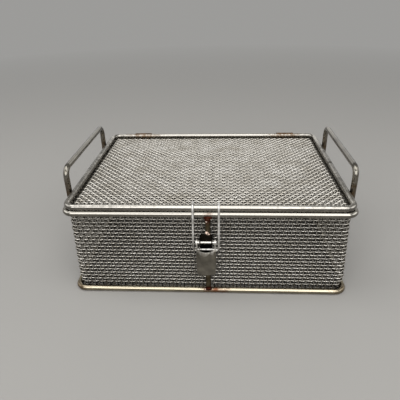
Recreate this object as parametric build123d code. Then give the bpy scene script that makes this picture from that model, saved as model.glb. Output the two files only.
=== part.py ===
"""Woven-wire autoclave basket with a hinged mesh lid, two side handles and a toggle latch.

Millimetres. X runs along the length, Y from the latch (front, -Y) to the hinges (back, +Y), Z up.
The origin is on the table, under the middle of the two basket rims.
"""

from build123d import *
import math
import os

# ---- driving dimensions -------------------------------------------------------------------
LENGTH = 305.0            # over the top rim, along X
DEPTH = 229.0             # over the top rim, along Y
HEIGHT = 103.5            # table to the crown of the top rim
ROD_D = 6.35              # rims, lid rim and handles
RIM_BEND_R = 10.5         # rod centre line round a corner of a rim
BASE_SPREAD = 1.0         # the bottom rim is this much longer and deeper than the top one
LID_INSET_X = 2.0         # lid rim inside the top rim, each end
LID_INSET_Y = 1.85        # lid rim inside the top rim, front and back
LID_GAP = 0.3             # daylight between the lid rim and the top rim

MESH_WIRE = 1.2           # wire thickness; the weave is two wires thick
RIDGE_W = 2.4             # width of one ridge that stands for a group of wires
RIDGES_LONG = 12          # ridges side by side along the length
RIDGES_DEEP = 9           # ridges side by side along the depth
RING_COUNT = 4            # ridges round the walls, the hem at the rim included
RING_PITCH = 24.0         # from ridge to ridge up the wall
HEM_H = 3.6               # the doubled edge of the mesh at a rim
MESH_OVER_RIM = 1.0       # the mesh stands this far above the middle of the top rim
MESH_FLOOR = 1.2          # underside of the mesh bottom above the table
LEFT_BELLY, RIGHT_BELLY = 2.0, 4.0   # the end walls stand out by this much near their foot
LONG_BELLY = 0.2          # the same for the front and back walls
BELLY_Z = 17.0            # height of the belly
BELLY_R = 12.0            # bend there
FOOT_R = 2.5              # bend from wall to bottom
FOOT_GAP = 0.1            # daylight between the foot of a wall and the bottom rim
LID_MESH_DROP = 3.3       # middle of the lid mesh under the middle of the lid rim

POST_D = 5.6              # upright rods in the middle of the front and of the back
POST_OFF_MESH = 0.4       # daylight between a post and the hem of the mesh
HANDLE_X = 155.0          # handle centre line from the middle of the basket
HANDLE_TOP_Z = 132.6      # centre line of the hand bar
HANDLE_FOOT_Z = 97.2      # lower end of a handle leg
HANDLE_BEND_R = 10.0
HANDLE_LEGS_Y = {"left": (-72.0, 75.5), "right": (-70.0, 69.5)}
WELD_R = 2.3              # weld nugget at each end of the back post, at the handles and at the latch
HANDLE_WELD_IN = 1.9      # that nugget is this far in from a handle leg's centre line,
HANDLE_WELD_UP = 2.2      # and this far above the middle of the top rim
HANDLE_TIP_R = ROD_D / 2 - 0.2   # rounded lower end of a handle leg
LATCH_WELD_R = 3.3        # the larger one over the latch


HINGE_X = {"left": -103.0, "right": 106.0}
HINGE_W = 24.0
STRAP_T = 1.0             # hinge strap thickness
STRAP_OPEN = 1.5          # how far the strap curls inwards past the middle of either rod
HINGE_NOTCH = 0.6         # daylight between a strap's side and the notch in the mesh
RUNNING = 0.05            # radial clearance of a turning fit

LATCH_X = -1.6            # middle of the latch
PIVOT_Y, PIVOT_Z = -120.5, 72.6   # lever pivot on the latch base
PIN_D = 2.6
BAIL_D = 2.3              # latch wire
BAIL_ARM = 8.6            # lever pivot to wire pivot, straight down when closed
BAIL_W = 26.2             # wire leg to wire leg
BAIL_CLEAR_FRONT, BAIL_CLEAR_TOP, BAIL_CLEAR_BACK = 0.8, 0.4, 1.0   # closed hook to the lid rim
BAIL_DROP = 0.1           # the hook's end behind the lid rim, under the middle of that rim
BAIL_BENDS = [2.2, 12.0, 3.3, 3.3, 1.4]    # centre-line bends from the lever to the hook
BAIL_KNEE_OFF = 0.75      # the wire passes the top rim at this distance,
BAIL_KNEE_DROP = 1.3      # with its knee this far below the middle of that rim
BAIL_END_GAP = 0.8        # between the two ends of the wire
EAR_OUT_W = 13.4          # over the ears of the latch base
EAR_T = 1.1
EAR_R = 3.6
CHEEK_T = 1.0             # lever cheeks, which turn outside the ears
RIVET_HEAD_R, RIVET_HEAD_T = 2.0, 0.6
BASE_PLATE_T = 1.2
BASE_CORNER_R = 2.0
BASE_TOP_Z, BASE_FOOT_Z = 79.0, 44.0
LEVER_W = 19.6
LEVER_BELLY_W = 21.0      # the cover is widest half way down
LEVER_T = 1.2
LEVER_TOP_Z, LEVER_FOOT_Z = 63.3, 32.0
LEVER_BOW_TOP, LEVER_BOW_FOOT = 6.0, 2.6   # how far the cover bulges
LEVER_SIDE = 3.4          # depth of the folded sides behind the pivot line

# ---- worked out from them -------------------------------------------------------------------
ROD_R = ROD_D / 2
RIM_Z = HEIGHT - ROD_R
BASE_Z = ROD_R
LID_Z = RIM_Z + ROD_D + LID_GAP
RIM_X, RIM_Y = LENGTH / 2 - ROD_R, DEPTH / 2 - ROD_R
BASE_X, BASE_Y = RIM_X + BASE_SPREAD / 2, RIM_Y + BASE_SPREAD / 2
LID_X, LID_Y = RIM_X - LID_INSET_X, RIM_Y - LID_INSET_Y
WEAVE_T = 2 * MESH_WIRE
MESH_TOP_Z = RIM_Z + MESH_OVER_RIM


def run_wire(points, radii, closed=False):
    """Path of straight runs joined by tangent arcs, one radius at each inner corner."""
    corners = [Vector(*p) for p in points]
    count = len(corners)
    turns = range(count) if closed else range(1, count - 1)
    edges, start, first = [], (None if closed else corners[0]), None
    for i, radius in zip(turns, radii):
        here = corners[i]
        back = (corners[i - 1] - here).normalized()
        ahead = (corners[(i + 1) % count] - here).normalized()
        half = math.radians(back.get_angle(ahead)) / 2
        reach = radius / math.tan(half)
        middle = here + (back + ahead).normalized() * (radius / math.sin(half) - radius)
        enter, leave = here + back * reach, here + ahead * reach
        if start is None:
            first = enter
        elif (enter - start).length > 1e-6:
            edges.append(Line(start, enter))
        edges.append(ThreePointArc(enter, middle, leave))
        start = leave
    edges.append(Line(start, first if closed else corners[-1]))
    return Wire([e.edge() for e in edges])


def rod(points, radii, diameter, closed=False):
    """Round rod bent along a path."""
    path = run_wire(points, radii, closed)
    return sweep(Plane(origin=path @ 0, z_dir=path % 0) * Circle(diameter / 2), path=path)


def rim(half_x, half_y, z):
    """Closed rod loop with four equal corners."""
    corners = [(half_x, half_y, z), (-half_x, half_y, z), (-half_x, -half_y, z), (half_x, -half_y, z)]
    return rod(corners, [RIM_BEND_R] * 4, ROD_D, closed=True)


def bar_x(y, z, length, radius, middle=0.0):
    """Round bar along X."""
    return Pos(middle, y, z) * Rot(0, 90, 0) * Cylinder(radius, length)


def spread(count, half):
    """Evenly spaced places from -half to half."""
    return [half * (2 * i / (count - 1) - 1) for i in range(count)]


# ---- basket mesh: straps bent like a tray, ridges round the walls ----------------------------
def wall_line(top, belly, foot, inset):
    """Half of a wall's section, from the hem down to the middle of the bottom."""
    return [(top - inset, MESH_TOP_Z), (belly - inset, BELLY_Z), (foot - inset, MESH_FLOOR + inset)]


def strap(near_wall, far_wall, rise):
    """U-shaped ridge: down one wall, across the bottom and up the other. rise lifts its bottom run."""
    inset = 1.5 * MESH_WIRE
    near, far = ([(a, b + (rise if b < BELLY_Z else 0)) for a, b in wall_line(*wall, inset)]
                 for wall in (near_wall, far_wall))
    points = far + [(-a, b) for a, b in reversed(near)]
    line = run_wire([(a, b, 0) for a, b in points], [BELLY_R, FOOT_R, FOOT_R, BELLY_R])
    return extrude(trace(line, MESH_WIRE), RIDGE_W / 2, both=True)


LEFT_WALL = (RIM_X - ROD_R, RIM_X - ROD_R + LEFT_BELLY, BASE_X - ROD_R - FOOT_GAP)
RIGHT_WALL = (RIM_X - ROD_R, RIM_X - ROD_R + RIGHT_BELLY, BASE_X - ROD_R - FOOT_GAP)
LONG_WALL = (RIM_Y - ROD_R, RIM_Y - ROD_R + LONG_BELLY, BASE_Y - ROD_R - FOOT_GAP)
YZ = Plane(origin=(0, 0, 0), x_dir=(0, 1, 0), z_dir=(1, 0, 0))
XZ = Plane(origin=(0, 0, 0), x_dir=(1, 0, 0), z_dir=(0, -1, 0))


def wall_at(wall, z):
    """Outer face of a wall at height z above the belly."""
    top, belly, _ = wall
    return top + (belly - top) * (MESH_TOP_Z - z) / (MESH_TOP_Z - BELLY_Z)


def ring(z, height, thickness):
    """Ridge round all four walls, its top edge at z."""
    left, right, half_y = wall_at(LEFT_WALL, z), wall_at(RIGHT_WALL, z), wall_at(LONG_WALL, z)
    length, corner = left + right, RIM_BEND_R - ROD_R
    outside = RectangleRounded(length, 2 * half_y, corner)
    inside = RectangleRounded(length - 2 * thickness, 2 * (half_y - thickness), corner - thickness)
    return Pos((right - left) / 2, 0, z - height) * extrude(outside - inside, height)


def corner_wire(sign_x, sign_y):
    """Straight wire up the middle of a rounded corner."""
    ends = []
    wall = LEFT_WALL if sign_x < 0 else RIGHT_WALL
    back = (RIM_BEND_R - ROD_R) * (1 - math.sqrt(0.5)) + MESH_WIRE
    for z in (MESH_TOP_Z - RIDGE_W, BELLY_Z + RIDGE_W):
        x, y = wall_at(wall, z) - back, wall_at(LONG_WALL, z) - back
        ends.append((sign_x * x, sign_y * y, z))
    return rod(ends, [], RIDGE_W)


def basket_mesh():
    foot_x, foot_y = LEFT_WALL[2] - 3 * FOOT_R, LONG_WALL[2] - 3 * FOOT_R
    crosswise, lengthwise = strap(LONG_WALL, LONG_WALL, MESH_WIRE), strap(LEFT_WALL, RIGHT_WALL, 0)
    parts = [Pos(x, 0, 0) * (YZ * crosswise) for x in spread(RIDGES_LONG, foot_x)]
    parts += [Pos(0, y, 0) * (XZ * lengthwise) for y in spread(RIDGES_DEEP, foot_y)]
    parts.append(ring(MESH_TOP_Z, HEM_H, WEAVE_T))
    parts += [ring(MESH_TOP_Z - i * RING_PITCH, RIDGE_W, 1.5 * MESH_WIRE) for i in range(1, RING_COUNT)]
    parts += [corner_wire(sx, sy) for sx in (-1, 1) for sy in (-1, 1)]
    mesh = parts[0].fuse(*parts[1:])
    notch = Box(HINGE_W + 2 * HINGE_NOTCH, 3 * WEAVE_T, 2 * ROD_D)
    for x in HINGE_X.values():
        mesh -= Pos(x, RIM_Y - ROD_R, MESH_TOP_Z) * notch
    return mesh


# ---- lid ------------------------------------------------------------------------------------
def lid_mesh():
    middle = LID_Z - LID_MESH_DROP
    seat = math.sqrt(ROD_R ** 2 - (LID_MESH_DROP - MESH_WIRE) ** 2)
    half_x, half_y = LID_X - seat, LID_Y - seat
    corner = RIM_BEND_R - seat
    plate = RectangleRounded(2 * half_x, 2 * half_y, corner)
    hole = RectangleRounded(2 * (half_x - HEM_H), 2 * (half_y - HEM_H), corner - HEM_H)
    parts = [Pos(0, 0, middle - MESH_WIRE) * extrude(plate - hole, WEAVE_T)]
    pitch_x, pitch_y = 2 * half_x / RIDGES_LONG, 2 * half_y / RIDGES_DEEP
    for x in spread(RIDGES_LONG - 1, half_x - pitch_x):
        parts.append(Pos(x, 0, middle - MESH_WIRE / 2) * Box(RIDGE_W, 2 * half_y - HEM_H, MESH_WIRE))
    for y in spread(RIDGES_DEEP - 1, half_y - pitch_y):
        parts.append(Pos(0, y, middle + MESH_WIRE / 2) * Box(2 * half_x - HEM_H, RIDGE_W, MESH_WIRE))
    return parts[0].fuse(*parts[1:])


def hinge_strap(x):
    """Strap welded over the lid rim and curled round the back top rim, on which it turns."""
    inner = [(LID_Y, LID_Z, ROD_R), (RIM_Y, RIM_Z, ROD_R + RUNNING)]
    skins = []
    for grow in (STRAP_T, 0):
        circles = [Pos(y, z) * Circle(r + grow) for y, z, r in inner]
        skins.append(make_hull([e for c in circles for e in c.edges()]))
    open_side = Pos(LID_Y - STRAP_OPEN - ROD_D, RIM_Z + STRAP_OPEN + ROD_D) * Rectangle(2 * ROD_D, 2 * ROD_D)
    section = skins[0] - skins[1] - open_side
    return Pos(x, 0, 0) * extrude(YZ * section, HINGE_W / 2, both=True)


# ---- posts and handles ----------------------------------------------------------------------
def post(side, top_weld_r, weld_out, rims):
    """Upright rod between the two rims, saddled on both, with a weld nugget at each end."""
    y = side * (RIM_Y - ROD_R + POST_D / 2 + POST_OFF_MESH)
    shape = Pos(0, y, (RIM_Z + BASE_Z) / 2) * Cylinder(POST_D / 2, RIM_Z - BASE_Z)
    out = y + side * weld_out
    shape = shape.fuse(Pos(0, out, RIM_Z - ROD_R - weld_out / 2) * Sphere(top_weld_r),
                       Pos(0, out, BASE_Z + ROD_R) * Sphere(WELD_R))
    for loop in rims:
        shape -= loop
    return shape.solids().sort_by(SortBy.VOLUME)[-1]


def handle(side, sign, top_rim):
    """Bent rod whose legs are welded on the outer flank of the top rim."""
    front, back = HANDLE_LEGS_Y[side]
    x = sign * HANDLE_X
    points = [(x, front, HANDLE_FOOT_Z), (x, front, HANDLE_TOP_Z),
              (x, back, HANDLE_TOP_Z), (x, back, HANDLE_FOOT_Z)]
    shape = rod(points, [HANDLE_BEND_R] * 2, ROD_D)
    for y in (front, back):
        shape += Pos(x - sign * HANDLE_WELD_IN, y, RIM_Z + HANDLE_WELD_UP) * Sphere(WELD_R)
        shape += Pos(x, y, HANDLE_FOOT_Z) * Sphere(HANDLE_TIP_R)
    return (shape - top_rim).solids().sort_by(SortBy.VOLUME)[-1]


# ---- latch ----------------------------------------------------------------------------------
WIRE_Y, WIRE_Z = PIVOT_Y, PIVOT_Z - BAIL_ARM
BASE_BACK_Y = -(RIM_Y - ROD_R + POST_D + POST_OFF_MESH)
BASE_FRONT_Y = BASE_BACK_Y - BASE_PLATE_T


def latch_base():
    """Plate on the front post with two rounded ears that carry the pivot pin."""
    height = BASE_TOP_Z - BASE_FOOT_Z
    plate = Pos(LATCH_X, (BASE_BACK_Y + BASE_FRONT_Y) / 2, (BASE_TOP_Z + BASE_FOOT_Z) / 2)
    shape = plate * fillet(Box(EAR_OUT_W, BASE_PLATE_T, height).edges().filter_by(Axis.Y), BASE_CORNER_R)
    into_plate = BASE_PLATE_T / 6
    ear = Pos(PIVOT_Y, PIVOT_Z) * Circle(EAR_R)
    ear += (Pos((PIVOT_Y + BASE_FRONT_Y) / 2, PIVOT_Z + 1)
            * Rectangle(BASE_FRONT_Y - PIVOT_Y + into_plate, 2 * EAR_R))
    for sign in (-1, 1):
        x = LATCH_X + sign * (EAR_OUT_W - EAR_T) / 2
        shape += Pos(x, 0, 0) * extrude(YZ * ear, EAR_T / 2, both=True)
    shape += Pos(LATCH_X / 2, BASE_BACK_Y - into_plate, BASE_TOP_Z + WELD_R / 3) * Sphere(WELD_R)
    return shape - bar_x(PIVOT_Y, PIVOT_Z, LEVER_W, PIN_D / 2, LATCH_X) - front_post


def latch_pin():
    """Rivet through the ears and the lever's cheeks."""
    length = LEVER_W + 0.4
    pin = bar_x(PIVOT_Y, PIVOT_Z, length, PIN_D / 2, LATCH_X)
    for sign in (-1, 1):
        middle = LATCH_X + sign * (length + RIVET_HEAD_T) / 2
        pin += bar_x(PIVOT_Y, PIVOT_Z, RIVET_HEAD_T, RIVET_HEAD_R, middle)
    return pin


COVER_ROOT_Y = PIVOT_Y + 0.2


def cover_section(z, width, bow):
    """Bowed strip of the cover, seen from above, with its folded sides."""
    half, root = width / 2, COVER_ROOT_Y
    outside = ThreePointArc((-half, root), (0, root - bow), (half, root))
    inside = ThreePointArc((half - LEVER_T, root), (0, root - bow + LEVER_T), (-half + LEVER_T, root))
    back = root + LEVER_SIDE
    left = Polyline((-half + LEVER_T, root), (-half + LEVER_T, back), (-half, back), (-half, root))
    right = Polyline((half, root), (half, back), (half - LEVER_T, back), (half - LEVER_T, root))
    return Pos(0, 0, z) * make_face([outside, right, inside, left])


def latch_lever():
    """Bowed cover plate with two cheeks that turn on the pin and carry the wire ends."""
    middle_z, middle_bow = (LEVER_FOOT_Z + LEVER_TOP_Z) / 2, (LEVER_BOW_FOOT + LEVER_BOW_TOP) / 2
    cover = loft([cover_section(LEVER_FOOT_Z, LEVER_W, LEVER_BOW_FOOT),
                  cover_section(middle_z, LEVER_BELLY_W, middle_bow),
                  cover_section(LEVER_TOP_Z, LEVER_W, LEVER_BOW_TOP)])
    shape = Pos(LATCH_X, 0, 0) * cover
    cheek_foot, neck = LEVER_TOP_Z - 6, EAR_R - 0.6
    web = Polygon((PIVOT_Y - neck, PIVOT_Z), (PIVOT_Y + neck, PIVOT_Z),
                  (COVER_ROOT_Y + LEVER_SIDE, cheek_foot), (COVER_ROOT_Y - 0.4, cheek_foot), align=None)
    cheek = web + Pos(PIVOT_Y, PIVOT_Z) * Circle(EAR_R)
    for sign in (-1, 1):
        x = LATCH_X + sign * (LEVER_W - CHEEK_T) / 2
        shape += Pos(x, 0, 0) * extrude(YZ * cheek, CHEEK_T / 2, both=True)
    shape -= bar_x(PIVOT_Y, PIVOT_Z, 2 * LEVER_W, PIN_D / 2 + RUNNING, LATCH_X)
    return shape - bar_x(WIRE_Y, WIRE_Z, 2 * LEVER_W, BAIL_D / 2 + RUNNING, LATCH_X)


def latch_bail():
    """Wire loop: its two ends turn in the lever's cheeks and its closed end hooks over the lid rim."""
    touch = ROD_R + BAIL_D / 2
    front, back = -LID_Y - touch - BAIL_CLEAR_FRONT, -LID_Y + touch + BAIL_CLEAR_BACK
    top = LID_Z + touch + BAIL_CLEAR_TOP
    knee_y, knee_z = -(RIM_Y + touch + BAIL_KNEE_OFF), RIM_Z - BAIL_KNEE_DROP
    half, end = BAIL_W / 2, BAIL_END_GAP / 2
    side = [(WIRE_Y, WIRE_Z), (knee_y, knee_z), (front, top), (back, top), (back, LID_Z - BAIL_DROP)]
    left = [(LATCH_X - half, y, z) for y, z in side]
    right = [(LATCH_X + half, y, z) for y, z in reversed(side)]
    points = [(LATCH_X - end, WIRE_Y, WIRE_Z)] + left + right + [(LATCH_X + end, WIRE_Y, WIRE_Z)]
    return rod(points, BAIL_BENDS + BAIL_BENDS[::-1], BAIL_D)


# ---- build ------------------------------------------------------------------------------------
top_rim = rim(RIM_X, RIM_Y, RIM_Z)
bottom_rim = rim(BASE_X, BASE_Y, BASE_Z)
front_post = post(-1, LATCH_WELD_R, 1.4, (top_rim, bottom_rim))

NODES = {
    "top_rim": top_rim,
    "bottom_rim": bottom_rim,
    "basket_mesh": basket_mesh(),
    "front_post": front_post,
    "back_post": post(1, WELD_R, 0, (top_rim, bottom_rim)),
    "left_handle": handle("left", -1, top_rim),
    "right_handle": handle("right", 1, top_rim),
    "latch_base": latch_base(),
    "latch_pin": latch_pin(),
    "latch_lever": latch_lever(),
    "latch_bail": latch_bail(),
    "lid_rim": rim(LID_X, LID_Y, LID_Z),
    "lid_mesh": lid_mesh(),
    "left_hinge": hinge_strap(HINGE_X["left"]),
    "right_hinge": hinge_strap(HINGE_X["right"]),
}

os.makedirs("parts", exist_ok=True)
for name, shape in NODES.items():
    export_step(shape, f"parts/{name}.step")
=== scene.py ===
"""Woven-wire autoclave basket: cloth, finishes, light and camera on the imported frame.

Sizes are in millimetres and turned to metres when a mesh is made. X runs along the length,
Y from the latch to the hinges, Z up from the table.
"""

import math

import bpy
import numpy as np
from mathutils import Matrix, Vector


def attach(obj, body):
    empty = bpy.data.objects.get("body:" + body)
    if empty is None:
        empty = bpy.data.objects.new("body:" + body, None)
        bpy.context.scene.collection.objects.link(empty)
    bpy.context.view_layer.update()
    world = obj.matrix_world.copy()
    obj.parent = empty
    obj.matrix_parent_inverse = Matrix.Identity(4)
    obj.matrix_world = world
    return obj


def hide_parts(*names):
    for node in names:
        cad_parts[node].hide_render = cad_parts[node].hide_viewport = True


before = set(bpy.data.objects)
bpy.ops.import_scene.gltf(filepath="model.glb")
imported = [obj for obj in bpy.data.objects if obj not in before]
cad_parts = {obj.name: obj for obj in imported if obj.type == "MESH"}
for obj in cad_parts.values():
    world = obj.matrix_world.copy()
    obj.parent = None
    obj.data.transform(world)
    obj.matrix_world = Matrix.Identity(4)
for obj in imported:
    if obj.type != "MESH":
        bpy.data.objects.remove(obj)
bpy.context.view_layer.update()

# ---- sizes shared with the solids ---------------------------------------------------------
MM = 0.001
ROD_R = 3.175                          # rod of the rims
RIM_Z = 100.325                        # middle of the top rim
LID_X, LID_Y, LID_Z = 147.325, 109.475, 106.975   # middle of the rod round the lid
LID_BEND_R = 10.5                      # bend of that rod at a corner
CLOTH_TOP_Z = 101.325
CLOTH_FLOOR_Z = 1.2                    # underside of the tray
BELLY_Z, BELLY_R, FOOT_R = 17.0, 12.0, 2.5
# Outer face of a wall at the top, at the belly and at the foot.
LEFT_WALL = (146.15, 148.15, 146.55)
RIGHT_WALL = (146.15, 150.15, 146.55)
LONG_WALL = (108.15, 108.35, 108.55)   # front and back
CORNER_R = 7.325                       # outer corner of the tray of cloth, seen from above
HINGE_X = (-103.0, 106.0)
HINGE_W = 24.0
LATCH_X = -1.6

# ---- the cloth: 6 openings to the inch -----------------------------------------------------
WIRE_D = 1.4                           # thicker than the 1.2 mm of the solids, so that it shows
TRAY_WIRES_X, TRAY_WIRES_Y = 68, 50    # wires side by side along X and along Y
TRAY_ROWS = 23                         # wires one above the other round the walls
CORNER_ARC = 3.5                       # the outermost wires stand this far round each corner
TOP_ROW_Z, BOTTOM_ROW_Z = 100.2, 4.6
LID_WIRES_X, LID_WIRES_Y = 69, 51
LID_CLOTH_Z = LID_Z - 3.3
LID_EDGE = 1.9                         # the lid's wires end this far inside the middle of its rod
WIRE_SIDES = 5
WAVE = 0.6                             # how far a wire stands off the middle of the cloth
WAVE_STEPS = 3                         # samples from one crossing to the next
FOOT_SAMPLES = (1 / 6, 0.5, 5 / 6)     # more of them from the lowest row to the floor
OVERRUN = 1.9                          # a tray wire runs this far past its last crossing
OVERRUN_PHASE = 0.45                   # and its wave this share of a crossing
CORNER_RISE = 6.0                      # height over which a wall takes on its rounded corner
ARC_STEP = 0.4                         # length of one chord of a rounded corner
AIM = 0.3                              # a line's direction is taken this far each way
# The back wall stands further in behind each hinge strap.
GIVE = 1.4                             # by this much
GIVE_SIDE, GIVE_EASE = 5.0, 4.0        # from this far beside the strap, growing over this much
GIVE_Z, GIVE_RISE = 88.0, 6.0          # from this height up, growing over this much
GIVE_BACK_Y = 90.0                     # only on the back wall, which lies past this Y
BEAD_ROWS, BEAD_SIDES = 13, 20         # samples of a weld bead up and round
BEAD_END = 1.4                         # latitude of its small flat caps, in radians
BEAD_LUMP = 0.12                       # share by which it swells and shrinks


# ---- making meshes --------------------------------------------------------------------------
def put_mesh(name, vertices, quads, caps, material, body, slot, hides=(), **paint):
    """Mesh object from vertices in millimetres, four-sided faces and end caps of many sides.

    paint gives one number a vertex by name, for the material to read.
    """
    mesh = bpy.data.meshes.new(name)
    corners = np.concatenate([quads.ravel(), caps.ravel()]).astype(np.int32)
    cap_sides = caps.shape[1] if len(caps) else 0
    sizes = np.concatenate([np.full(len(quads), 4), np.full(len(caps), cap_sides)])
    mesh.vertices.add(len(vertices))
    mesh.vertices.foreach_set("co", (vertices * MM).astype(np.float32).ravel())
    mesh.loops.add(len(corners))
    mesh.loops.foreach_set("vertex_index", corners)
    mesh.polygons.add(len(sizes))
    mesh.polygons.foreach_set("loop_start", (np.cumsum(sizes) - sizes).astype(np.int32))
    mesh.update(calc_edges=True)
    mesh.polygons.foreach_set("use_smooth", np.ones(len(sizes), bool))
    for key, values in paint.items():
        layer = mesh.attributes.new(key, "FLOAT", "POINT")
        layer.data.foreach_set("value", values.astype(np.float32).ravel())
    mesh.materials.append(material)
    thing = bpy.data.objects.new(name, mesh)
    bpy.context.scene.collection.objects.link(thing)
    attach(thing, body)
    if hides:
        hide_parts(*hides)


def tubes(lines, flat, shift, closed=False):
    """Round wires along flat lines: centre + radius * (cos a * inwards + sin a * flat).

    lines is (wire, sample, 3); flat is the direction square to every line, and inwards is square
    to it and to the line's own direction. shift is how far each sample stands off the middle of
    the cloth. Two numbers are painted on each vertex, which the material turns into painted shade
    and highlight: hidden, from 0 to 1, is how squarely it faces the wire that is crossed, and
    upper, from -1 to 1, how squarely it faces up.
    """
    if closed:
        ahead = np.roll(lines, -1, 1) - np.roll(lines, 1, 1)
    else:
        ahead = np.gradient(lines, axis=1)
    ahead /= np.linalg.norm(ahead, axis=-1, keepdims=True)
    inwards = np.cross(ahead, flat)
    radius = WIRE_D / 2
    angle = np.arange(WIRE_SIDES) * 2 * np.pi / WIRE_SIDES
    outwards = (np.cos(angle)[:, None] * inwards[:, :, None, :]
                + np.sin(angle)[:, None] * np.asarray(flat, float))
    points = lines[:, :, None, :] + radius * outwards
    hidden = np.clip(-(outwards * shift[:, :, None, :]).sum(-1) / radius, 0, 1)
    count, samples = lines.shape[:2]
    index = np.arange(count * samples * WIRE_SIDES).reshape(count, samples, WIRE_SIDES)
    here = index if closed else index[:, :-1]
    beyond = np.roll(index, -1, 1) if closed else index[:, 1:]
    quads = np.stack([here, np.roll(here, -1, 2), np.roll(beyond, -1, 2), beyond], -1)
    quads = quads.reshape(-1, 4)
    if closed:
        caps = np.empty((0, WIRE_SIDES), int)
    else:
        caps = np.concatenate([index[:, 0, ::-1], index[:, -1]])
    paint = {"hidden": hidden, "upper": outwards[..., 2]}
    return points.reshape(-1, 3), quads[:, ::-1], caps[:, ::-1], paint


def rounded(points, radii):
    """Flat line through corners rounded by tangent arcs: centre + radius * (cos, sin)."""
    points = np.asarray(points, float)
    out = [points[:1]]
    for before, corner, after, radius in zip(points, points[1:], points[2:], radii):
        back, ahead = before - corner, after - corner
        back, ahead = back / np.linalg.norm(back), ahead / np.linalg.norm(ahead)
        half = math.acos(np.clip(back @ ahead, -1, 1)) / 2
        centre = corner + (back + ahead) / np.linalg.norm(back + ahead) * radius / math.sin(half)
        first = corner + back * radius / math.tan(half) - centre
        last = corner + ahead * radius / math.tan(half) - centre
        sweep = math.atan2(first[0] * last[1] - first[1] * last[0], first @ last)
        steps = max(3, int(abs(sweep) * radius / ARC_STEP) + 2)
        turn = np.linspace(0, sweep, steps)[:, None]
        square = np.array([-first[1], first[0]])
        out.append(centre + np.cos(turn) * first + np.sin(turn) * square)
    out.append(points[-1:])
    return np.concatenate(out)


def lengths_along(line):
    """Distance of each point of a line from its start: the sum of the chords before it."""
    return np.concatenate([[0], np.cumsum(np.linalg.norm(np.diff(line, axis=0), axis=1))])


def along(line, places):
    """Points of a line at given distances along it, and its unit direction there."""
    length = lengths_along(line)
    places = np.clip(places, 0, length[-1])

    def point(distances):
        return np.stack([np.interp(distances, length, line[:, i]) for i in range(2)], -1)

    ahead = point(np.minimum(places + AIM, length[-1])) - point(np.maximum(places - AIM, 0))
    return point(places), ahead / np.linalg.norm(ahead, axis=-1, keepdims=True)


# ---- the tray of cloth -----------------------------------------------------------------------
def tray_section(near_wall, far_wall):
    """Middle of the cloth from one rim down the wall, across the bottom and up to the other rim."""
    heights = (CLOTH_TOP_Z, BELLY_Z, CLOTH_FLOOR_Z + WIRE_D)
    near, far = ([(a - WIRE_D, z) for a, z in zip(wall, heights)]
                 for wall in (near_wall, far_wall))
    return rounded([(-a, z) for a, z in near] + far[::-1], [BELLY_R, FOOT_R, FOOT_R, BELLY_R])


def row_heights():
    """Heights of the wires round the walls, evenly from the top one down."""
    return np.linspace(TOP_ROW_Z, BOTTOM_ROW_Z, TRAY_ROWS)


def last_wire(wall):
    """Place of the outermost wire: start of the corner + radius * sin(CORNER_ARC / radius)."""
    radius = CORNER_R - WIRE_D
    return wall[0] - CORNER_R + radius * math.sin(CORNER_ARC / radius)


def corner_drop(places, wall):
    """Fall of a wall from its flat part at a rounded corner: radius - sqrt(radius^2 - over^2)."""
    radius = CORNER_R - WIRE_D
    over = np.maximum(np.abs(places) - (wall[0] - CORNER_R), 0)
    return radius - np.sqrt(radius ** 2 - over ** 2)


def u_wires(section, places, floor_places, drop, phase):
    """Wires bent like a U, each over one crossing and under the next.

    Distance from the middle of the cloth = WAVE * cos(pi * crossing number), square to the
    cloth, and turned round by phase on every other wire. The result is how far each sample
    lies along the section, its height, its place across it, and its shift off the cloth.
    """
    length = lengths_along(section)
    left, right = section[:, 0] < 0, section[:, 0] > 0
    down = np.interp(-row_heights(), -section[left, 1], length[left])
    up = np.interp(row_heights()[::-1], section[right, 1], length[right])
    flat = np.abs(section[:, 1] - CLOTH_FLOOR_Z - WIRE_D) < 0.01
    floor = np.interp(floor_places, section[flat, 0], length[flat])
    crossings = np.concatenate([down, floor, up])
    count = len(crossings)
    bends = TRAY_ROWS - 1 + np.array(FOOT_SAMPLES)
    steps = np.arange(WAVE_STEPS * (count - 1) + 1) / WAVE_STEPS
    number = np.sort(np.concatenate([steps, bends, count - 1 - bends]))
    reach = np.interp(number, np.arange(count), crossings)
    number = np.concatenate([[-OVERRUN_PHASE], number, [count - 1 + OVERRUN_PHASE]])
    reach = np.concatenate([[reach[0] - OVERRUN], reach, [reach[-1] + OVERRUN]])
    at, ahead = along(section, reach)
    wave = WAVE * np.cos(np.pi * number)[None] * phase[:, None]
    shift_a, shift_z = wave * -ahead[None, :, 1], wave * ahead[None, :, 0]
    height = np.clip((at[:, 1] - CLOTH_FLOOR_Z - WIRE_D) / CORNER_RISE, 0, 1)
    a = at[None, :, 0] + shift_a - np.sign(at[:, 0])[None] * drop[:, None] * height[None]
    z = at[None, :, 1] + shift_z
    return a, z, np.broadcast_to(places[:, None], a.shape), shift_a, shift_z


def hinge_give(x, y, z):
    """Y of the back wall: y - GIVE * near * high, which both go evenly from 0 to 1."""
    near = sum(np.clip((HINGE_W / 2 + GIVE_SIDE - np.abs(x - h)) / GIVE_EASE, 0, 1)
               for h in HINGE_X)
    high = np.clip((z - GIVE_Z) / GIVE_RISE, 0, 1)
    return y - GIVE * near * high * (y > GIVE_BACK_Y)


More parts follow.
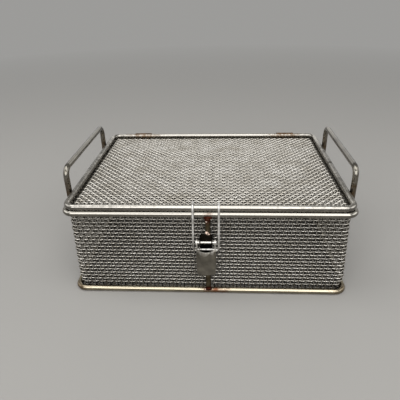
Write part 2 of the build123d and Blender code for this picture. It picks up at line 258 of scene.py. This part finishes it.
def tray_wires():
    """The three sets of wires: along X under and up both ends, along Y likewise, and round.

    A wire round the walls stands off the rounded box by WAVE * cos(pi * crossing number).
    """
    x_last, y_last = last_wire(LEFT_WALL), last_wire(LONG_WALL)
    xs = np.linspace(-x_last, x_last, TRAY_WIRES_X)
    ys = np.linspace(-y_last, y_last, TRAY_WIRES_Y)
    side, long = tray_section(LEFT_WALL, RIGHT_WALL), tray_section(LONG_WALL, LONG_WALL)
    odd_x, odd_y = (-1.0) ** np.arange(TRAY_WIRES_X), (-1.0) ** np.arange(TRAY_WIRES_Y)
    a, z, b, da, dz = u_wires(side, ys, xs, corner_drop(ys, LONG_WALL), odd_y)
    lengthwise = tubes(np.stack([a, b, z], -1), (0, 1, 0), np.stack([da, 0 * b, dz], -1))
    a, z, b, da, dz = u_wires(long, xs, ys, corner_drop(xs, LEFT_WALL), -odd_x)
    crosswise = tubes(np.stack([b, hinge_give(b, a, z), z], -1), (-1, 0, 0),
                      np.stack([0 * b, da, dz], -1))

    rings, shifts = [], []
    around = 2 * (TRAY_WIRES_X + TRAY_WIRES_Y)
    left, right, front = side[:, 0] < 0, side[:, 0] > 0, long[:, 0] < 0
    for row, height in enumerate(row_heights()):
        x_left = np.interp(-height, -side[left, 1], side[left, 0])
        x_right = np.interp(height, side[right, 1], side[right, 0])
        y_front = np.interp(-height, -long[front, 1], long[front, 0])
        box = [(0, y_front), (x_right, y_front), (x_right, -y_front),
               (x_left, -y_front), (x_left, y_front), (0, y_front)]
        loop = rounded(box, [CORNER_R - WIRE_D] * 4)
        total = np.linalg.norm(np.diff(loop, axis=0), axis=1).sum()
        number = np.arange(0, around, 1 / WAVE_STEPS)
        at, ahead = along(loop, (number + 0.5) / around * total)
        wave = WAVE * np.cos(np.pi * number) * (-1) ** row
        x, y = at[:, 0] + wave * ahead[:, 1], at[:, 1] - wave * ahead[:, 0]
        rings.append(np.stack([x, hinge_give(x, y, height), np.full_like(x, height)], -1))
        shifts.append(np.stack([wave * ahead[:, 1], -wave * ahead[:, 0], 0 * x], -1))
    return lengthwise, crosswise, tubes(np.array(rings), (0, 0, 1), np.array(shifts), True)


# ---- the lid and the welds -------------------------------------------------------------------
def lid_wires():
    """Flat plain weave: height = WAVE * cos(pi * crossing number), opposite the two ways."""
    half_x, half_y = LID_X - LID_EDGE, LID_Y - LID_EDGE
    radius = LID_BEND_R - LID_EDGE
    x_last = half_x - radius + radius * math.sin(CORNER_ARC / radius)
    y_last = half_y - radius + radius * math.sin(CORNER_ARC / radius)
    xs, ys = np.linspace(-x_last, x_last, LID_WIRES_X), np.linspace(-y_last, y_last, LID_WIRES_Y)

    def run(places, others, reach, half_width):
        """Wires at places that cross others and end at reach, less at the rounded corners."""
        over = np.maximum(np.abs(places) - (half_width - radius), 0)
        ends = (reach - (radius - np.sqrt(radius ** 2 - over ** 2)))[:, None]
        number = np.arange(WAVE_STEPS * (len(others) - 1) + 1) / WAVE_STEPS
        inner = np.interp(number, np.arange(len(others)), others)
        line = np.concatenate([-ends, np.broadcast_to(inner, (len(places), len(inner))), ends], 1)
        number = np.concatenate([[-0.5], number, [len(others) - 0.5]])
        wave = WAVE * np.cos(np.pi * number)[None] * ((-1.0) ** np.arange(len(places)))[:, None]
        return line, np.broadcast_to(places[:, None], line.shape), wave

    a, b, wave = run(ys, xs, half_x, half_y)
    lengthwise = tubes(np.stack([a, b, LID_CLOTH_Z + wave], -1), (0, 1, 0),
                       np.stack([0 * a, 0 * a, wave], -1))
    a, b, wave = run(xs, ys, half_y, half_x)
    crosswise = tubes(np.stack([b, a, LID_CLOTH_Z - wave], -1), (-1, 0, 0),
                      np.stack([0 * a, 0 * a, -wave], -1))
    return lengthwise, crosswise


def bead(centre, halves, turn):
    """Lumpy drop of weld: centre + halves * swell * unit ball.

    swell = 1 + BEAD_LUMP * sin(3 * longitude + turn) * sin(4 * latitude).
    """
    latitude = np.linspace(-BEAD_END, BEAD_END, BEAD_ROWS)[:, None]
    longitude = np.arange(BEAD_SIDES)[None] * 2 * np.pi / BEAD_SIDES
    ball = np.stack([np.cos(latitude) * np.cos(longitude), np.cos(latitude) * np.sin(longitude),
                     np.sin(latitude) + 0 * longitude], -1)
    swell = 1 + BEAD_LUMP * np.sin(3 * longitude + turn) * np.sin(4 * latitude)
    index = np.arange(latitude.size * longitude.size).reshape(swell.shape)
    beside = np.roll(index, -1, 1)
    quads = np.stack([index[:-1], beside[:-1], beside[1:], index[1:]], -1).reshape(-1, 4)
    vertices = np.asarray(centre) + np.asarray(halves) * ball * swell[..., None]
    return vertices.reshape(-1, 3), quads, np.stack([index[0, ::-1], index[-1]])


# ---- finishes -------------------------------------------------------------------------------
SHEEN_MM = 1.5                         # rougher patches, coarser than real so that they show
CROWN = (0.7, 1.7)                     # painted highlight along a rod's crown, from this far above its middle to this
EDGE_MM = 4.0                          # wander of the edge of a stain or painted mark
SPOT_WANDER = 3.0                     # times its reach, how far noise pushes a stain or painted mark out
SPOT_EDGE, SPOT_FULL = 0.1, 1.6      # times its reach, where it starts and where it is full
SPOT_SHARE, SPOT_DULL = 0.9, 0.22    # strongest share of its colour, and its added roughness


def linear(code):
    """sRGB hex code to the linear colour that the shader takes."""
    parts = [int(code[i:i + 2], 16) / 255 for i in (0, 2, 4)]
    return (*[p / 12.92 if p <= 0.04045 else ((p + 0.055) / 1.055) ** 2.4 for p in parts], 1.0)


def node(tree, kind, inputs=None, stops=(), **settings):
    """Adds one node with its settings. An input is a value or another node's output; stops are
    (place, hex code) pairs of a colour ramp."""
    made = tree.nodes.new(kind)
    for key, value in settings.items():
        setattr(made, key, value)
    for i, (place, code) in enumerate(stops):
        ramp = made.color_ramp.elements
        stop = ramp[i] if i < 2 else ramp.new(place)
        stop.position, stop.color = place, linear(code)
    for key, value in (inputs or {}).items():
        if isinstance(value, bpy.types.NodeSocket):
            tree.links.new(value, made.inputs[key])
        else:
            made.inputs[key].default_value = value
    return made


def blank(name):
    """A material with a Principled shader and object coordinates."""
    material = bpy.data.materials.new(name)
    material.use_nodes = True
    tree = material.node_tree
    tree.nodes.clear()
    shader = node(tree, "ShaderNodeBsdfPrincipled")
    node(tree, "ShaderNodeOutputMaterial", {"Surface": shader.outputs[0]})
    return material, tree, shader, node(tree, "ShaderNodeTexCoord").outputs["Object"]


def steel(name, dark, pale, rough, speckle_mm, stains_and_painted_light=(), highlight_crown=None):
    """Stainless steel whose brightness drifts between two tones over patches of speckle_mm.

    The last argument gives the height of the middle of a level rod, and the colour of a painted
    highlight along its crown. Each entry of the list before it, a stain or a painted highlight
    or shade, is a hex code, a reach in millimetres and the spots that it spreads from. Its edge
    is ragged: distance to the nearest spot - SPOT_WANDER * reach * noise.
    """
    material, tree, shader, place = blank(name)
    shader.inputs["Metallic"].default_value = 1.0
    patches = node(tree, "ShaderNodeTexNoise",
                   {"Vector": place, "Scale": 1000 / speckle_mm, "Detail": 4.0})
    colour = node(tree, "ShaderNodeValToRGB", {"Fac": patches.outputs[0]},
                  [(0.3, dark), (0.7, pale)]).outputs[0]
    sheen = node(tree, "ShaderNodeTexNoise",
                 {"Vector": place, "Scale": 1000 / SHEEN_MM, "Detail": 2.0})
    sheen_range = {"Value": sheen.outputs[0], "To Min": rough - 0.05, "To Max": rough + 0.07}
    dull = node(tree, "ShaderNodeMapRange", sheen_range).outputs[0]
    ragged = node(tree, "ShaderNodeTexNoise",
                  {"Vector": place, "Scale": 1000 / EDGE_MM, "Detail": 3.0}).outputs[0]
    # Painted highlight: the crown of a level rod is paler a little above its middle.
    if highlight_crown:
        height = node(tree, "ShaderNodeSeparateXYZ", {"Vector": place}).outputs["Z"]
        crown = node(tree, "ShaderNodeMapRange",
                     {"Value": height, "From Min": (highlight_crown[0] + CROWN[0]) * MM,
                      "From Max": (highlight_crown[0] + CROWN[1]) * MM})
        mix = node(tree, "ShaderNodeMix", {0: crown.outputs[0], 6: colour, 7: linear(highlight_crown[1])},
                   data_type="RGBA")
        colour = mix.outputs[2]
    # Stains spread from their spots, and so do the painted highlights and shade given in the same
    # list.
    for code, reach, spots in stains_and_painted_light:
        nearest = 1.0
        for spot in spots:
            gap = node(tree, "ShaderNodeVectorMath", {0: place, 1: [c * MM for c in spot]},
                       operation="DISTANCE").outputs["Value"]
            nearest = node(tree, "ShaderNodeMath", {0: nearest, 1: gap},
                           operation="MINIMUM").outputs[0]
        edge = node(tree, "ShaderNodeMath",
                    {0: ragged, 1: -SPOT_WANDER * reach * MM, 2: nearest},
                    operation="MULTIPLY_ADD").outputs[0]
        share = node(tree, "ShaderNodeMapRange",
                     {"Value": edge, "From Min": -SPOT_EDGE * reach * MM,
                      "From Max": -SPOT_FULL * reach * MM, "To Max": SPOT_SHARE}).outputs[0]
        mix = node(tree, "ShaderNodeMix", {0: share, 6: colour, 7: linear(code)},
                   data_type="RGBA")
        colour = mix.outputs[2]
        dull = node(tree, "ShaderNodeMath", {0: share, 1: SPOT_DULL, 2: dull},
                    operation="MULTIPLY_ADD").outputs[0]
    tree.links.new(colour, shader.inputs["Base Color"])
    tree.links.new(dull, shader.inputs["Roughness"])
    return material


def woven_wire():
    """Plain-woven stainless wire, which looks pale from above and dark in its openings.

    It has a painted highlight where it faces up, painted shade where it faces down and where
    wires cross, and painted shade darkest in the lowest 12 mm.
    """
    material, tree, shader, place = blank("woven_stainless_wire")
    shader.inputs["Metallic"].default_value = 1.0
    shader.inputs["Roughness"].default_value = 0.3
    patches = node(tree, "ShaderNodeTexNoise",
                   {"Vector": place, "Scale": 1000 / 18, "Detail": 4.0})
    bright = node(tree, "ShaderNodeValToRGB", {"Fac": patches.outputs[0]},
                  [(0.3, "ccc6ba"), (0.7, "efebe3")])
    # Painted highlight and shade: pale where a face looks up, dark (403c35) where it looks down.
    upper = node(tree, "ShaderNodeAttribute", attribute_name="upper").outputs["Fac"]
    painted_highlight_share = node(tree, "ShaderNodeMapRange", {"Value": upper, "From Min": -0.1, "From Max": 0.6})
    top = node(tree, "ShaderNodeMix",
               {0: painted_highlight_share.outputs[0], 6: linear("403c35"), 7: bright.outputs[0]},
               data_type="RGBA")
    # Painted shade (3b372f) on the sides of the wires that face the wire they cross.
    hidden = node(tree, "ShaderNodeAttribute", attribute_name="hidden").outputs["Fac"]
    depth = node(tree, "ShaderNodeMapRange",
                 {"Value": hidden, "From Min": 0.55, "From Max": 0.85, "To Max": 0.8})
    crossed = node(tree, "ShaderNodeMix",
                   {0: depth.outputs[0], 6: top.outputs[2], 7: linear("3b372f")},
                   data_type="RGBA")
    # Painted shade (2c2822) inside the tray: none above 12 mm, nearly full below 4 mm.
    height = node(tree, "ShaderNodeSeparateXYZ", {"Vector": place}).outputs["Z"]
    low_shade_share = node(tree, "ShaderNodeMapRange",
                 {"Value": height, "From Min": 12 * MM, "From Max": 4 * MM, "To Max": 0.92})
    low_shaded = node(tree, "ShaderNodeMix",
                 {0: low_shade_share.outputs[0], 6: crossed.outputs[2], 7: linear("2c2822")},
                 data_type="RGBA")
    tree.links.new(low_shaded.outputs[2], shader.inputs["Base Color"])
    return material


# Where stains and painted shade spread from: rust and heat tint at welds, feet of the handles,
# hinge straps and rod corners; a dark patch along the back of the bottom rod; and painted shade
# over the lid's side rods, which covers the painted highlight of their crowns.
POST_TOP, POST_FOOT = (0, -115.5, 96.5), (2.0, -115.0, 5.0)
HANDLE_FEET = [(x, y, 103.0) for x, places in ((-155, (-72.0, 75.5)), (155, (-70.0, 69.5)))
               for y in places]
STRAPS = [(x + dx, 112.0, 105.0) for x in HINGE_X for dx in (-8, 0, 8)]
# The lid's side rods: painted grey shade over the painted highlight of their crowns.
LID_SIDES = [(x, y, LID_Z) for x in (-LID_X, LID_X) for y in (-50, 0, 50)]
LID_JOINT = [(147.3, 1.0, 109.5), (149.3, 1.0, 108.5)]       # butt weld of the lid's rod
FOOT_CORNERS = [(x, y, 3.2) for x in (-150, 150) for y in (-112, 112)]
FOOT_BACK = [(x, 125, 3.2) for x in (-120, -60, 0, 60, 120)]
FOOT_WELD = [POST_FOOT, (8, -114, 4), (13, -113, 3)]
# Where the latch has painted highlights: edges of its cheeks, its bowed lip, and its wire.
CHEEK_EDGES = [(LATCH_X + x, -124.0, z) for x in (-9.2, 9.2) for z in (70.5, 72.6, 74.7)]
LEVER_LIP = [(LATCH_X + x, -123.5 - 0.027 * (81 - x * x), 63.6) for x in (-9, -6, -3, 0, 3, 6, 9)]
WIRE_LEGS = [(x, -117, z) for x in (-17, 14) for z in (88, 100, 112)]
WIRE_ENDS = [(x, -121, 64) for x in (-4, LATCH_X, 1)]

cloth = woven_wire()
# Drawn stainless rod, smooth: a sharp streak of light along its back, a painted highlight along
# its crown, and rust at the weld.
rod = steel("drawn_stainless_rod", "6f6b63", "8d8981", 0.13, 30,
            [("5e3a22", 6, [POST_TOP])], (RIM_Z, "b4b0a7"))
# The same rod round the lid, with a painted highlight along its crown: painted grey shade over
# the sides, brown at the straps, dark round its butt weld.
lid_rod = steel("drawn_stainless_lid_rod", "726e68", "908c85", 0.15, 30,
                [("6c6963", 70, LID_SIDES), ("6b543c", 12, STRAPS), ("2c2822", 3.0, LID_JOINT)],
                (LID_Z, "bcb8b0"))
# Bottom rod, with a straw heat tint all along and a painted highlight along its crown: browner
# at the corners, darkest at the back.
straw_rod = steel("straw_tinted_rod", "7a7262", "a69d88", 0.14, 14,
                  [("5d4a33", 12, FOOT_CORNERS), ("2e2119", 60, FOOT_BACK),
                   ("6b3a20", 7, FOOT_WELD)], (ROD_R, "c0b69f"))
# Rod of the handles, dulled by hands: a softer streak, and brown heat tint at the feet.
handle_rod = steel("dulled_stainless_rod", "63605a", "858178", 0.18, 30,
                   [("54422c", 17, HANDLE_FEET)])
# Upright rods under scale: dark brown, hardly shining, rusty at both ends.
post_steel = steel("scaled_rod", "40382a", "6e6551", 0.36, 8,
                   [("4a160a", 6, [POST_TOP, POST_FOOT])])
# Strip browned by welding: warm brown with small darker flecks and a broad soft shine.
hinge_steel = steel("heat_browned_strap", "4e3f30", "8a6c50", 0.4, 5)
# Pressed stainless sheet: grey and dull, with a painted highlight along its lip and edges.
latch_sheet = steel("pressed_stainless_sheet", "625e56", "8a857a", 0.36, 9,
                    [("f0ede6", 3.2, LEVER_LIP), ("f0ede6", 4.5, CHEEK_EDGES)])
# Sheet behind the lever: nearly black, painted shade, so that the lever stands out from it.
base_sheet = steel("shaded_stainless_sheet", "1d1a16", "2c2823", 0.4, 6)
# Turned rivet, rubbed by the lever: a small pale spot.
rivet_steel = steel("bright_rivet", "c9c5bd", "eeebe5", 0.25, 12)
# Hard spring wire: grey at its bends, with a painted highlight, nearly white, along its legs and at
# its ends.
spring_wire = steel("bright_spring_wire", "6b675f", "97928a", 0.3, 12,
                    [("fbfaf7", 26, WIRE_LEGS), ("f4f2ee", 5, WIRE_ENDS)])
# Burnt and rusted weld: dark red-brown lumps that hardly shine.
red_weld = steel("rusted_weld", "240c07", "4e261a", 0.5, 2)
# Weld blushed by heat: pale pink drops with a wet shine.
pink_weld = steel("heat_blushed_weld", "b89a88", "eedccf", 0.25, 3)

for node_name, finish in {
    "top_rim": rod, "bottom_rim": straw_rod, "lid_rim": lid_rod,
    "left_handle": handle_rod, "right_handle": handle_rod,
    "front_post": post_steel, "back_post": post_steel,
    "left_hinge": hinge_steel, "right_hinge": hinge_steel,
    "latch_base": base_sheet, "latch_lever": latch_sheet,
    "latch_pin": rivet_steel, "latch_bail": spring_wire,
}.items():
    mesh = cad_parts[node_name].data
    mesh.materials.clear()
    mesh.materials.append(finish)

# ---- pieces ---------------------------------------------------------------------------------
tray_names = ("tray_wires_lengthwise", "tray_wires_crosswise", "tray_wires_round")
for name, wires, hides in zip(tray_names, tray_wires(), (("basket_mesh",), (), ())):
    put_mesh(name, *wires[:3], cloth, "basket", "mesh", hides, **wires[3])
lid_names = ("lid_wires_lengthwise", "lid_wires_crosswise")
for name, wires, hides in zip(lid_names, lid_wires(), (("lid_mesh",), ())):
    put_mesh(name, *wires[:3], cloth, "lid", "mesh", hides, **wires[3])
for name, centre, halves, turn, finish in (
        ("top_weld_bead", (0.2, -114.1, 98.2), (4.4, 1.6, 1.7), 0.5, red_weld),
        ("top_weld_drop", (0.4, -114.3, 95.9), (2.7, 1.7, 2.2), 2.0, red_weld),
        ("top_weld_blush", (-1.2, -114.2, 93.6), (1.3, 1.0, 0.9), 2.0, pink_weld),
        ("latch_weld_bead", (-0.9, -114.9, 80.2), (2.3, 2.0, 2.2), 1.2, pink_weld),
        ("latch_weld_side", (1.5, -115.0, 79.0), (1.5, 1.3, 1.1), 0.2, pink_weld),
        ("foot_weld_bead", (0.4, -114.4, 6.6), (3.4, 1.9, 2.1), 0.0, red_weld),
        ("foot_weld_drop", (-3.4, -114.5, 5.6), (1.5, 1.5, 1.5), 1.0, pink_weld)):
    put_mesh(name, *bead(centre, halves, turn), finish, "basket", "post")


# ---- floor, light and camera -------------------------------------------------------------------
BACKDROP = "e6e5e2"
BACKDROP_SEEN, BACKDROP_LIGHT = 0.42, 0.08   # its strength where it is seen, and as a light
FLOOR_HALF = 10.0                            # metres
FADE_FROM, FADE_TO = 0.5, 2.0                # metres from the middle of the basket
MIDDLE = (0, 0, 0.05)                        # middle of the basket, in metres
SENSOR = 36.0


def shown(tree):
    """1 for rays that show the backdrop, else 0.

    They are the rays that see it straight, mirrored in metal or through something clear.
    """
    path = node(tree, "ShaderNodeLightPath").outputs
    mirrored = node(tree, "ShaderNodeMath", {0: path["Is Camera Ray"], 1: path["Is Glossy Ray"]},
                    operation="MAXIMUM")
    both = {0: mirrored.outputs[0], 1: path["Is Transmission Ray"]}
    return node(tree, "ShaderNodeMath", both, operation="MAXIMUM").outputs[0]


def floor():
    """Pale plain floor at the foot of the basket.

    It keeps the basket's shadow; further out it fades to the colour of the backdrop.
    """
    mesh = bpy.data.meshes.new("floor")
    corners = [(FLOOR_HALF * x, FLOOR_HALF * y, 0) for x, y in ((-1, -1), (1, -1), (1, 1), (-1, 1))]
    mesh.from_pydata(corners, [], [(0, 1, 2, 3)])
    material, tree, shader, place = blank("pale_floor")
    shader.inputs["Base Color"].default_value = linear("a9a7a3")
    shader.inputs["Roughness"].default_value = 0.9
    far = node(tree, "ShaderNodeVectorMath", {0: place}, operation="LENGTH").outputs["Value"]
    fade = node(tree, "ShaderNodeMapRange",
                {"Value": far, "From Min": FADE_FROM, "From Max": FADE_TO})
    share = node(tree, "ShaderNodeMath", {0: fade.outputs[0], 1: shown(tree)},
                 operation="MULTIPLY")
    glow = node(tree, "ShaderNodeEmission",
                {"Color": linear(BACKDROP), "Strength": BACKDROP_SEEN})
    mix = node(tree, "ShaderNodeMixShader",
               {0: share.outputs[0], 1: shader.outputs[0], 2: glow.outputs[0]})
    tree.links.new(mix.outputs[0], tree.nodes["Material Output"].inputs["Surface"])
    mesh.materials.append(material)
    thing = bpy.data.objects.new("floor", mesh)
    bpy.context.scene.collection.objects.link(thing)


def lamp(name, place, width, height, watts):
    """Soft box aimed at the middle of the basket."""
    data = bpy.data.lights.new(name, "AREA")
    data.shape, data.size, data.size_y, data.energy = "RECTANGLE", width, height, watts
    thing = bpy.data.objects.new(name, data)
    bpy.context.scene.collection.objects.link(thing)
    away = Vector(place) - Vector(MIDDLE)
    thing.location = place
    thing.rotation_euler = away.to_track_quat("Z", "Y").to_euler()


def camera(place, yaw, pitch, roll, focal_share):
    """Camera at a place, turned by yaw, pitched down and rolled, in degrees.

    focal_share is the focal length over the width of the sensor.
    """
    yaw, pitch, roll = map(math.radians, (yaw, pitch, roll))
    ahead = np.array([math.sin(yaw) * math.cos(pitch), math.cos(yaw) * math.cos(pitch),
                      -math.sin(pitch)])
    level = np.array([math.cos(yaw), -math.sin(yaw), 0])
    up = np.cross(level, ahead)
    right = math.cos(roll) * level + math.sin(roll) * up
    top = -math.sin(roll) * level + math.cos(roll) * up
    data = bpy.data.cameras.new("camera")
    data.sensor_width = SENSOR
    data.lens = SENSOR * focal_share
    data.clip_start = 0.01
    thing = bpy.data.objects.new("camera", data)
    bpy.context.scene.collection.objects.link(thing)
    turned = np.eye(4)
    turned[:3] = np.stack([right, top, -ahead, place], -1)
    thing.matrix_world = Matrix(turned.tolist())
    bpy.context.scene.camera = thing


floor()
lamp("overhead", (-0.1, -0.3, 1.8), 2.6, 1.0, 21)
lamp("front", (0.0, -1.7, 1.2), 3.2, 1.2, 32)
lamp("back", (0.0, 2.4, 1.0), 2.8, 1.0, 8)
lamp("left", (-2.2, -0.1, 1.25), 2.0, 1.3, 10)
lamp("right", (2.2, -0.1, 1.25), 2.0, 1.3, 10)
camera((0.0145, -0.4608, 0.3051), yaw=-3.55, pitch=28.24, roll=-1.41, focal_share=1.001)

world = bpy.data.worlds.new("studio")
bpy.context.scene.world = world
world.use_nodes = True
backdrop = world.node_tree.nodes["Background"]
backdrop.inputs["Color"].default_value = linear(BACKDROP)
# Dim where it lights the basket, pale where it is seen or mirrored.
strength = node(world.node_tree, "ShaderNodeMapRange",
                {"Value": shown(world.node_tree), "To Min": BACKDROP_LIGHT,
                 "To Max": BACKDROP_SEEN})
world.node_tree.links.new(strength.outputs[0], backdrop.inputs["Strength"])
bpy.context.scene.view_settings.view_transform = "Standard"
